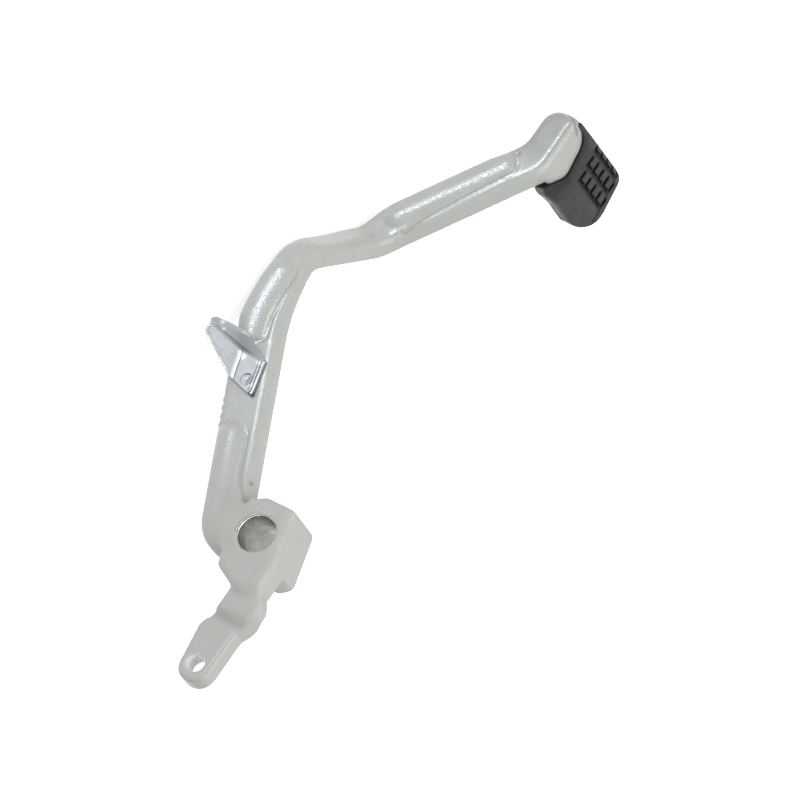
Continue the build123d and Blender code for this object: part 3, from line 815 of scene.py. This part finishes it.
# %% [markdown]
# The sleeve is turned on a lathe, so it is made as a lathe would: one outline, swept round the bore's axis.
# Two fine ridges stand on the part of its end that the paint leaves bare, with painted highlights on them
# and painted shade in the valley between.

# %% Sleeve
BORE_R = 8.45
SLEEVE_OUTER_R = 9.75
SLEEVE_END = 11.7
SLEEVE_STEPS = (-9.0, SLEEVE_END - 0.2, 8)
TURNS = 160
RIDGES = (
    (8.5, 0.3), (8.6, 0.6), (8.7, 0.65), (8.82, 0.45), (8.95, 0.35), (9.3, 0.35), (9.4, 0.5), (9.52, 0.7),
    (9.62, 0.65), (SLEEVE_OUTER_R, 0.2),
)
INNER_RIDGE_R, OUTER_RIDGE_R, RIDGE_HALF, RIDGE_RISE = 8.65, 9.57, 0.1, 0.1
VALLEY_INNER_R, VALLEY_OUTER_R, VALLEY_SHADE = 8.75, 9.45, 0.75
TORN_MIDDLE, TORN_DIRT = 2.6, 0.85


def turned(name, profile, turns):
    """A closed ring about the Y axis, from a function that gives (radius, y) for an angle, in millimetres."""
    shape = bmesh.new()
    rings = []
    for turn in range(turns):
        angle = 2 * math.pi * turn / turns
        across, up = math.cos(angle) * MM, math.sin(angle) * MM
        rings.append([shape.verts.new((r * across, y * MM, r * up)) for r, y in profile(angle)])
    for ring, after in zip(rings, rings[1:] + rings[:1]):
        for i in range(len(ring)):
            j = (i + 1) % len(ring)
            shape.faces.new((ring[i], ring[j], after[j], after[i]))
    bmesh.ops.recalc_face_normals(shape, faces=shape.faces)
    mesh = bpy.data.meshes.new(name)
    shape.to_mesh(mesh)
    shape.free()
    mesh.shade_smooth()
    return add_piece(name, mesh)


def sleeve_profile(angle):
    """The wall of the sleeve, with two turned ridges on the bare part of its near end."""
    bare = float(bare_ring(np.array(angle)))
    wall = [(SLEEVE_OUTER_R, -SLEEVE_END), (BORE_R, -SLEEVE_END)]
    wall += [(BORE_R, y) for y in np.linspace(*SLEEVE_STEPS)]
    return wall + [(r, SLEEVE_END + bare * height) for r, height in RIDGES]


sleeve = turned("bore_sleeve", sleeve_profile, TURNS)
x, y, z = places(sleeve).T
radius = np.hypot(x, z)
angle = np.arctan2(z, x)
ridges = (np.abs(radius - INNER_RIDGE_R) < RIDGE_HALF) | (np.abs(radius - OUTER_RIDGE_R) < RIDGE_HALF)
valley = (radius > VALLEY_INNER_R) & (radius < VALLEY_OUTER_R) & (y > SLEEVE_END)
torn_edge = np.clip(np.sin(11 * angle + 1.0) * np.sin(4 * angle), 0, 1)
torn_edge *= (np.cos(angle - TORN_MIDDLE) > 0.2) * ramp(y, 8.5, 11.0)
# Painted highlight on the ridges.
mark(sleeve, "pale", ridges * (y > SLEEVE_END + RIDGE_RISE))
# Painted shade in the valley between the ridges, and a darker torn paint edge.
mark(sleeve, "dirt_and_shade", np.maximum(VALLEY_SHADE * valley, TORN_DIRT * torn_edge))
print("the sleeve has", len(sleeve.data.polygons), "faces")

# %% [markdown]
# The finishes share three effects, and each is a node group of its own: a slow drift between two colours, a
# fine ripple for the bump, and a second colour that follows the marks, for dirt, painted shade and painted
# highlights. No painted or plated face has one even colour, so the first group drifts between two near
# tones in soft patches.

# %% Tone drift group
MIX_SHARE, MIX_FIRST, MIX_SECOND, MIX_RESULT = 0, 6, 7, 2
PATCH_LOW, PATCH_HIGH = 0.35, 0.65


def combine(tree, operation, *values):
    """The result of a Math node on numbers or links."""
    return add_node(tree, "ShaderNodeMath", dict(enumerate(values)), operation=operation).outputs[0]


def mix_colours(tree, share, first, second):
    """The second colour laid over the first, by a share from 0 to 1."""
    inputs = {MIX_SHARE: share, MIX_FIRST: first, MIX_SECOND: second}
    return add_node(tree, "ShaderNodeMix", inputs, data_type="RGBA").outputs[MIX_RESULT]


def stretched_place(tree, stretch):
    """The place on the object, stretched along its axes."""
    coords = add_node(tree, "ShaderNodeTexCoord")
    inputs = {0: coords.outputs["Object"], 1: stretch}
    return add_node(tree, "ShaderNodeVectorMath", inputs, operation="MULTIPLY").outputs[0]


drift, enter, leave = new_group(
    "ShaderNodeTree",
    "tone drift",
    [
        ("Color", "Colour", (0.5, 0.5, 0.5, 1)),
        ("Color", "Drift colour", (0.4, 0.4, 0.4, 1)),
        ("Float", "Patch size mm", 8.0),
        ("Float", "Amount", 0.5),
        ("Vector", "Stretch", (1, 1, 1)),
    ],
    [("Color", "Colour")],
)
place = stretched_place(drift, enter.outputs["Stretch"])
scale = combine(drift, "DIVIDE", 1 / MM, enter.outputs["Patch size mm"])
noise = add_node(drift, "ShaderNodeTexNoise", {"Vector": place, "Scale": scale, "Detail": 3.0})
limits = {"Value": noise.outputs["Fac"], "From Min": PATCH_LOW, "From Max": PATCH_HIGH}
patches = add_node(drift, "ShaderNodeMapRange", limits)
share = combine(drift, "MULTIPLY", patches.outputs[0], enter.outputs["Amount"])
mixed = mix_colours(drift, share, enter.outputs["Colour"], enter.outputs["Drift colour"])
drift.links.new(mixed, leave.inputs["Colour"])
print(drift.name, "has", len(drift.nodes), "nodes")

# %% [markdown]
# Paint dries in small waves, metal keeps a grain and rubber is slightly gritty. This group gives a height
# for all three, at the size each needs, drawn out in one direction where that is wished.

# %% Ripple group
GRIT_FINENESS = 4.0
MIDDLE_HEIGHT = 0.5
ripple, enter, leave = new_group(
    "ShaderNodeTree",
    "fine ripple",
    [
        ("Float", "Ripple size mm", 1.0),
        ("Float", "Grit", 0.3),
        ("Float", "Amount", 1.0),
        ("Vector", "Stretch", (1, 1, 1)),
    ],
    [("Float", "Height")],
)
place = stretched_place(ripple, enter.outputs["Stretch"])
scale = combine(ripple, "DIVIDE", 1 / MM, enter.outputs["Ripple size mm"])
waves = add_node(ripple, "ShaderNodeTexNoise", {"Vector": place, "Scale": scale, "Detail": 1.0})
finer = combine(ripple, "MULTIPLY", scale, GRIT_FINENESS)
grit = add_node(ripple, "ShaderNodeTexNoise", {"Vector": place, "Scale": finer, "Detail": 2.0})
both = combine(ripple, "MULTIPLY_ADD", grit.outputs["Fac"], enter.outputs["Grit"], waves.outputs["Fac"])
level = combine(ripple, "SUBTRACT", both, MIDDLE_HEIGHT)
height = combine(ripple, "MULTIPLY", level, enter.outputs["Amount"])
ripple.links.new(height, leave.inputs["Height"])
print(ripple.name, "has", len(ripple.nodes), "nodes")

# %% [markdown]
# The marks on the pieces say how much of a second colour shows: dirt, painted shade in grooves, creases
# and hollows, and painted highlights and sheen on ridges, folds and edges. The same group mixes grey levels
# too, so it also turns the gloss up and down.

# %% Group for dirt, painted shade and painted highlights
dirt_and_shade, enter, leave = new_group(
    "ShaderNodeTree",
    "dirt_and_shade",
    [
        ("Color", "Colour", (0.5, 0.5, 0.5, 1)),
        ("Color", "Marked colour", (0.1, 0.1, 0.1, 1)),
        ("Float", "Amount", 0.0),
    ],
    [("Color", "Colour")],
)
mixed = mix_colours(dirt_and_shade, enter.outputs["Amount"], enter.outputs["Colour"], enter.outputs["Marked colour"])
dirt_and_shade.links.new(mixed, leave.inputs["Colour"])
print(dirt_and_shade.name, "has", len(dirt_and_shade.nodes), "nodes")

# %% [markdown]
# The paint is a warm light grey. It is glossy on the arm, with fine ripples that break up the lamp's
# reflection on the beads, and duller on the block. A coat layer could add the gloss, but it has a normal of
# its own and would not follow the ripples by itself. The helpers place the three groups, so that each
# finish is then a few lines of colours and sizes.

# %% Grey gloss paint


def start_material(material):
    """Gives a material its one glossy shader."""
    material.use_nodes = True
    tree = material.node_tree
    tree.nodes.clear()
    shader = tree.nodes.new("ShaderNodeBsdfPrincipled")
    add_node(tree, "ShaderNodeOutputMaterial", {"Surface": shader.outputs[0]})
    return tree, shader


def grey(level):
    """A grey of one level."""
    return (level, level, level, 1)


def attribute(tree, name):
    """The values that were marked on a piece's points."""
    return add_node(tree, "ShaderNodeAttribute", attribute_name=name).outputs["Fac"]


def drifting(tree, first, second, patch, amount=1.0, stretch=(1, 1, 1)):
    """A colour, or a grey level, that drifts between two in patches of a size in millimetres."""
    inputs = {
        "Colour": first,
        "Drift colour": second,
        "Patch size mm": patch,
        "Amount": amount,
        "Stretch": stretch,
    }
    return add_node(tree, "ShaderNodeGroup", inputs, node_tree=drift).outputs["Colour"]


def mixed_by_mark(tree, colour, marked_colour, name):
    """Mixes in a second colour where a piece's points are marked: dirt, painted shade, painted highlights."""
    inputs = {"Colour": colour, "Marked colour": marked_colour, "Amount": attribute(tree, name)}
    return add_node(tree, "ShaderNodeGroup", inputs, node_tree=dirt_and_shade).outputs["Colour"]


def rippled(tree, size, grit, amount=1.0, stretch=(1, 1, 1)):
    """A height with ripples of a size in millimetres and finer grit on them."""
    inputs = {"Ripple size mm": size, "Grit": grit, "Amount": amount, "Stretch": stretch}
    return add_node(tree, "ShaderNodeGroup", inputs, node_tree=ripple).outputs["Height"]


def finish_surface(tree, shader, colour, rough, height, depth):
    """Links a colour, a roughness and a bump, with its depth in millimetres, to a shader."""
    bump = add_node(tree, "ShaderNodeBump", {"Height": height, "Strength": 1.0, "Distance": depth * MM})
    tree.links.new(colour, shader.inputs["Base Color"])
    tree.links.new(rough, shader.inputs["Roughness"])
    tree.links.new(bump.outputs[0], shader.inputs["Normal"])


tree, shader = start_material(paint)
tone = drifting(tree, (0.475, 0.49, 0.462, 1), (0.455, 0.464, 0.432, 1), patch=9.0, amount=0.7)
# Painted light on the rod hole's wall.
tone = mixed_by_mark(tree, tone, (0.85, 0.86, 0.84, 1), "pale")
# Dirt in pits, and painted shade in the grooves, the crease and on the head's flat.
tone = mixed_by_mark(tree, tone, (0.16, 0.16, 0.15, 1), "dirt_and_shade")
rough = mixed_by_mark(tree, drifting(tree, grey(0.27), grey(0.34), patch=4.0), grey(0.55), "dull")
waves = rippled(tree, 0.8, grit=0.06, amount=attribute(tree, "peel"), stretch=(1.4, 0.8, 0.8))
finish_surface(tree, shader, tone, rough, waves, depth=0.17)
print(paint.name, "has", len(tree.nodes), "nodes")

# %% [markdown]
# Bright zinc is a metal with a slight blue tone. A glossy grey would look like paint, so the shader is
# fully metallic. Almost all of its look is what it mirrors, so its surface is smooth.

# %% Zinc plate
zinc = bpy.data.materials.new("bright_zinc")
tree, shader = start_material(zinc)
shader.inputs["Metallic"].default_value = 1.0
tone = drifting(tree, (0.395, 0.41, 0.43, 1), (0.32, 0.34, 0.36, 1), patch=4.0, amount=0.7)
# Painted highlights on the bracket's fold and spots.
tone = mixed_by_mark(tree, tone, (0.85, 0.87, 0.9, 1), "pale")
# Painted shade on the flange and in the creases, and a darker tip and cut edges.
tone = mixed_by_mark(tree, tone, (0.12, 0.125, 0.135, 1), "dirt_and_shade")
rough = drifting(tree, grey(0.045), grey(0.07), patch=2.0)
finish_surface(tree, shader, tone, rough, rippled(tree, 1.6, grit=0.1), depth=0.02)
print(zinc.name, "has", len(tree.nodes), "nodes")

# %% [markdown]
# The inside of the bore is bare, brushed by the shaft and a little stained. Its grain is drawn out along
# the bore. The end's ridges get a painted highlight, and the valley between them painted shade.

# %% Bare steel
steel = bpy.data.materials.new("bare_steel")
tree, shader = start_material(steel)
shader.inputs["Metallic"].default_value = 1.0
tone = drifting(
    tree, (0.42, 0.42, 0.39, 1), (0.29, 0.288, 0.265, 1), patch=3.0, amount=0.8, stretch=(1.0, 0.4, 1.0)
)
# Painted highlight on the ridges of the sleeve's end.
tone = mixed_by_mark(tree, tone, (0.95, 0.95, 0.93, 1), "pale")
# Painted shade in the valley between the ridges, and the torn paint edge darker.
tone = mixed_by_mark(tree, tone, (0.06, 0.06, 0.055, 1), "dirt_and_shade")
rough = drifting(tree, grey(0.28), grey(0.45), patch=2.0)
grain = rippled(tree, 1.2, grit=0.4, stretch=(1.0, 0.3, 1.0))
finish_surface(tree, shader, tone, rough, grain, depth=0.08)
print(steel.name, "has", len(tree.nodes), "nodes")

# %% [markdown]
# Old rubber is a dark grey and hardly mirrors anything. Painted sheen makes its corners paler, and painted
# shade darkens its grooves.

# %% Black rubber
black = bpy.data.materials.new("black_rubber")
tree, shader = start_material(black)
shader.inputs["Specular IOR Level"].default_value = 0.25
tone = drifting(tree, (0.05, 0.055, 0.054, 1), (0.036, 0.04, 0.04, 1), patch=5.0, amount=0.8)
# Painted sheen on the front edge and the lower rear side.
tone = mixed_by_mark(tree, tone, (0.14, 0.145, 0.14, 1), "pale")
# Painted shade in the grooves, the lines and round the mouth.
tone = mixed_by_mark(tree, tone, (0.006, 0.007, 0.007, 1), "dirt_and_shade")
rough = drifting(tree, grey(0.36), grey(0.5), patch=3.0)
finish_surface(tree, shader, tone, rough, rippled(tree, 0.7, grit=0.4), depth=0.08)
print(black.name, "has", len(tree.nodes), "nodes")

# %% [markdown]
# Every piece now takes its finish, rides on the pedal's one body, and stands in for the solids that it
# dresses.

# %% Finish the pieces and put them on the pedal's body
for piece, material, slot, nodes in (
    (body, paint, "grey_paint", ("pedal_arm", "pivot_boss", "brake_lever")),
    (rubber, black, "black_rubber", ("pedal_rubber",)),
    (bracket, zinc, "zinc_plate", ("stop_bracket",)),
    (rivet, zinc, "zinc_plate", ("bracket_rivet",)),
    (sleeve, steel, "bare_steel", ("pivot_sleeve",)),
):
    piece.data.materials.clear()
    piece.data.materials.append(material)
    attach(piece, "root")
    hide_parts(*nodes)
    print(piece.name, "stands for", nodes)

# %% [markdown]
# The pedal lies before plain white. The floor is pale and glows a little for what looks straight at it or
# mirrors it, so it shows white and still takes a soft shadow.

# %% Floor
FLOOR_Z = cad_box[0][2] - 0.2 * MM
FLOOR_HALF = 30.0
FLOOR_GLOW = 0.7


def seen_directly(tree):
    """1 for rays from the camera, in reflections and through glass, and 0 for light that falls on things."""
    rays = add_node(tree, "ShaderNodeLightPath")
    seen = combine(tree, "MAXIMUM", rays.outputs["Is Camera Ray"], rays.outputs["Is Glossy Ray"])
    return combine(tree, "MAXIMUM", seen, rays.outputs["Is Transmission Ray"])


sides = ((-1, -1), (1, -1), (1, 1), (-1, 1))
corners = [(across * FLOOR_HALF, along * FLOOR_HALF, FLOOR_Z) for across, along in sides]
floor_mesh = bpy.data.meshes.new("floor")
floor_mesh.from_pydata(corners, [], [(0, 1, 2, 3)])
floor = add_piece("floor", floor_mesh)
floor.visible_shadow = False
pale = bpy.data.materials.new("pale_floor")
pale.use_nodes = True
tree = pale.node_tree
tree.nodes.clear()
matt = add_node(tree, "ShaderNodeBsdfDiffuse", {"Color": grey(0.88)})
glow = combine(tree, "MULTIPLY", seen_directly(tree), FLOOR_GLOW)
shine = add_node(tree, "ShaderNodeEmission", {"Strength": glow})
both = add_node(tree, "ShaderNodeAddShader", {0: matt.outputs[0], 1: shine.outputs[0]})
add_node(tree, "ShaderNodeOutputMaterial", {"Surface": both.outputs[0]})
floor.data.materials.append(pale)
print("floor at", round(FLOOR_Z / MM, 2), "mm")

# %% [markdown]
# The even light of the world fills the dark sides. It is white where it is seen, and weaker as light, so
# that the lamps still shape the pedal.

# %% World
WORLD_LIGHT, WORLD_SEEN = 0.3, 1.0
world = bpy.data.worlds.new("studio")
world.use_nodes = True
bpy.context.scene.world = world
tree = world.node_tree
tree.nodes.clear()
levels = {"Value": seen_directly(tree), "To Min": WORLD_LIGHT, "To Max": WORLD_SEEN}
level = add_node(tree, "ShaderNodeMapRange", levels)
sky = add_node(tree, "ShaderNodeBackground", {"Color": grey(1), "Strength": level.outputs[0]})
add_node(tree, "ShaderNodeOutputWorld", {"Surface": sky.outputs[0]})
world.cycles.sampling_method = "NONE"
print("world light", WORLD_LIGHT, "and seen as", WORLD_SEEN)

# %% [markdown]
# The camera looks along the direction from which a long lens sees the pedal, so far lines stay parallel.
# Its two axes were found from the bore's ellipse and the arm's edges.

# %% Camera
AIM = Vector((87.8, -22.4, -3.6)) * MM
FRAME_WIDTH = 0.329
LENS = 1600
SENSOR = 36
right = Vector(VIEW_RIGHT).normalized()
up = Vector(VIEW_UP)
up = (up - up.dot(right) * right).normalized()
toward = right.cross(up)
lens = bpy.data.cameras.new("camera")
lens.lens = LENS
lens.sensor_width = SENSOR
lens.clip_end = 100
camera = add_piece("camera", lens)
turn = Matrix((right, up, toward)).transposed().to_4x4()
camera.matrix_world = Matrix.Translation(AIM + toward * FRAME_WIDTH * LENS / SENSOR) @ turn
bpy.context.scene.camera = camera
print("camera is", round((camera.matrix_world.translation - AIM).length, 2), "m away")

# %% [markdown]
# A wide lamp above gives the soft light and a strip beside the camera lights the near faces. A sun lamp
# would light them evenly too, but gloss mirrors it as a small spot, and a rectangle as a soft band.

# %% Soft lamps
LAMP_DISTANCE = 1.2
BESIDE_CAMERA = Vector((0.2, 0.95, -0.25)).normalized()
ABOVE = Vector((0.0, 0.12, 0.99)).normalized()


def add_lamp(name, back, width, height, watts, colour):
    """A rectangular soft lamp that points at the pedal from a direction, its width level."""
    data = bpy.data.lights.new(name, "AREA")
    data.shape = "RECTANGLE"
    data.size = width
    data.size_y = height
    data.energy = watts
    data.color = colour
    data.cycles.use_multiple_importance_sampling = False
    lamp = add_piece(name, data)
    side = Vector((0, 0, 1)).cross(back).normalized()
    turn = Matrix((side, back.cross(side), back)).transposed().to_4x4()
    lamp.matrix_world = Matrix.Translation(AIM + back * LAMP_DISTANCE) @ turn
    lamp.visible_camera = False
    print(name, "lamp of", watts, "W")


add_lamp("strip", BESIDE_CAMERA, 0.55, 0.08, 3.4, (0.93, 0.96, 1.0))
add_lamp("overhead", ABOVE, 1.2, 1.2, 14.5, (1, 1, 1))

# %% [markdown]
# A narrow third lamp is seen only in gloss: it draws the bluish ripples along the beads and adds no light
# to the paint itself. Its cone covers the arm and leaves the dull block out.

# %% Glint
GLINT_AIM = Vector((142, -12, -42)) * MM
GLINT_DISTANCE = 1.25
data = bpy.data.lights.new("glint", "SPOT")
data.spot_size = math.radians(10.5)
data.spot_blend = 0.35
data.shadow_soft_size = 0.04
data.energy = 66
data.color = (0.72, 0.86, 1.0)
data.cycles.use_multiple_importance_sampling = False
glint = add_piece("glint", data)
turn = BESIDE_CAMERA.to_track_quat("Z", "Y").to_matrix().to_4x4()
glint.matrix_world = Matrix.Translation(GLINT_AIM + BESIDE_CAMERA * GLINT_DISTANCE) @ turn
glint.visible_diffuse = False
glint.visible_camera = False
bpy.context.scene.view_settings.view_transform = "Standard"
print("lamps:", sorted(lamp.name for lamp in bpy.data.lights))
